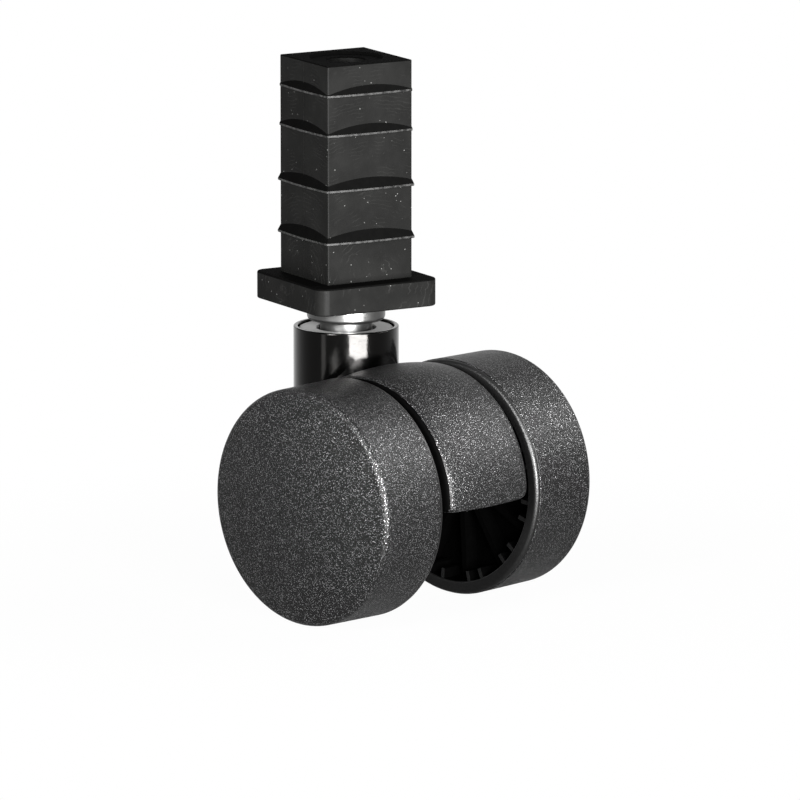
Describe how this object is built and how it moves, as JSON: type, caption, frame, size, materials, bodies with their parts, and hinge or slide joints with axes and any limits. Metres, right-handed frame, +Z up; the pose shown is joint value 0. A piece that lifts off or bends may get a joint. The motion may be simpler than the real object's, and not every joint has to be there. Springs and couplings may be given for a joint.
{
  "type": "twin wheel castor",
  "caption": "Swivel castor with two wheels beside a rounded hood, on a pin held in a barbed square plug for the end of a tube leg.",
  "frame": {"origin": "centre of the flange's upper face, which the end of the tube rests on, on the swivel axis", "axes": "+Z up into the tube along the swivel axis, +X from the swivel axis to the axle, Y along the axle"},
  "size_m": [0.0596, 0.0666, 0.1139],
  "materials": {
    "insert_plastic": "moulded matte black",
    "zinc_steel": "zinc plated, smooth",
    "ring_steel": "oiled steel",
    "dark_metal": "dark nickel, polished",
    "bush_plastic": "plain grey",
    "hood_plastic": "fine grained with a slight sparkle",
    "wheel_plastic": "fine grained with a slight sparkle",
    "rim_plastic": "plain moulded"
  },
  "bodies": {
    "insert": {"square_insert": "insert_plastic", "king_pin": "zinc_steel", "pin_ring": "ring_steel"},
    "castor": {"hood_body": "hood_plastic", "barrel_sleeve": "dark_metal", "swivel_bush": "bush_plastic", "thrust_disc": "ring_steel", "axle": "ring_steel", "left_spacer": "bush_plastic", "right_spacer": "bush_plastic", "left_axle_ring": "ring_steel", "right_axle_ring": "ring_steel"},
    "left_wheel": {"left_wheel_shell": "wheel_plastic", "left_wheel_rim": "rim_plastic", "left_hub_bush": "bush_plastic"},
    "right_wheel": {"right_wheel_shell": "wheel_plastic", "right_wheel_rim": "rim_plastic", "right_hub_bush": "bush_plastic"}
  },
  "joints": [
    {"name": "swivel", "type": "hinge", "parent": "insert", "child": "castor", "pos_m": [0, 0, -0.02], "axis": [0, 0, 1], "continuous": true},
    {"name": "left_wheel_spin", "type": "hinge", "parent": "castor", "child": "left_wheel", "pos_m": [0.0168, 0, -0.043], "axis": [0, 1, 0], "continuous": true},
    {"name": "right_wheel_spin", "type": "hinge", "parent": "castor", "child": "right_wheel", "pos_m": [0.0168, 0, -0.043], "axis": [0, 1, 0], "continuous": true}
  ]
}
